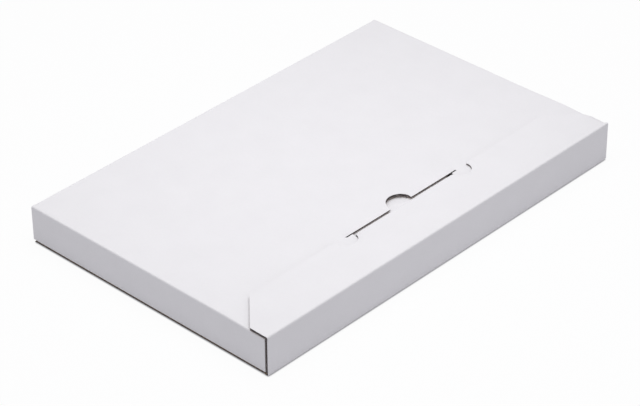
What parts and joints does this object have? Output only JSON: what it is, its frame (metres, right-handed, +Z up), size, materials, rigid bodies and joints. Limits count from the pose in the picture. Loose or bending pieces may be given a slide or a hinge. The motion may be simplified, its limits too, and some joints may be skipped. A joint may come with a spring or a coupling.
{
  "type": "corrugated mailer box",
  "caption": "Flat white corrugated mailer box folded from one sheet, shut by a flap whose tongue tucks through a slit beside a half-round thumb notch.",
  "frame": {"origin": "middle of the underside, where the box rests", "axes": "+X along the length and the flutes, +Y from the closing flap's crease towards the back wall, +Z up through the panel with the lock"},
  "size_m": [0.225, 0.145, 0.02],
  "materials": {
    "white_board": "matte white liner outside, brown fluted core at the raw edges"
  },
  "bodies": {
    "box": {"carton": "white_board"},
    "flap": {"closing_flap": "white_board", "tuck_tongue": "white_board"}
  },
  "joints": [
    {"name": "flap_hinge", "type": "hinge", "parent": "box", "child": "flap", "pos_m": [0, -0.07175, 0.01925], "axis": [1, 0, 0], "range_deg": [0, 170], "deforming": ["tuck_tongue"]}
  ]
}
